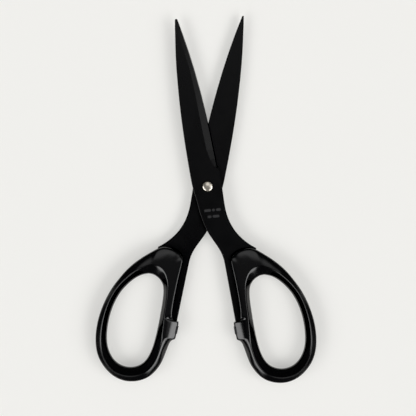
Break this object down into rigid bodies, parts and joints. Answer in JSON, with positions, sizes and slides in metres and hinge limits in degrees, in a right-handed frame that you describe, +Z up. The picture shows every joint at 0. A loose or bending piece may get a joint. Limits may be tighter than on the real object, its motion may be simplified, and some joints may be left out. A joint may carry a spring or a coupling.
{
  "type": "fabric shears",
  "caption": "Fabric shears with coated steel blades, moulded finger bows and a domed pivot rivet, opening and closing at the pivot.",
  "frame": {"origin": "on the table, under the middle of the box that the open shears fill", "axes": "+Z up from the table, +Y towards the blade tips, midway between the two halves; +X to the side of the upper half's bow"},
  "size_m": [0.1174, 0.1954, 0.009],
  "materials": {
    "coated_steel": "matte black fluororesin coat over ground stainless steel",
    "bow_plastic": "glossy black moulded ABS",
    "pad_elastomer": "satin black elastomer",
    "rivet_nickel": "bright nickel plate",
    "burr_nickel": "dull nickel plate",
    "washer_resin": "natural acetal resin"
  },
  "bodies": {
    "back_half": {"back_blade": "coated_steel", "back_bow": "bow_plastic", "back_stop_pad": "pad_elastomer", "pivot_rivet": "rivet_nickel", "rivet_burr": "burr_nickel", "blade_washer": "washer_resin"},
    "front_half": {"front_blade": "coated_steel", "front_bow": "bow_plastic", "front_stop_pad": "pad_elastomer"}
  },
  "joints": [
    {"name": "blade_pivot", "type": "hinge", "parent": "back_half", "child": "front_half", "pos_m": [0, 0.00649, 0.0045], "axis": [0, 0, 1], "range_deg": [-22.2, 117]}
  ]
}
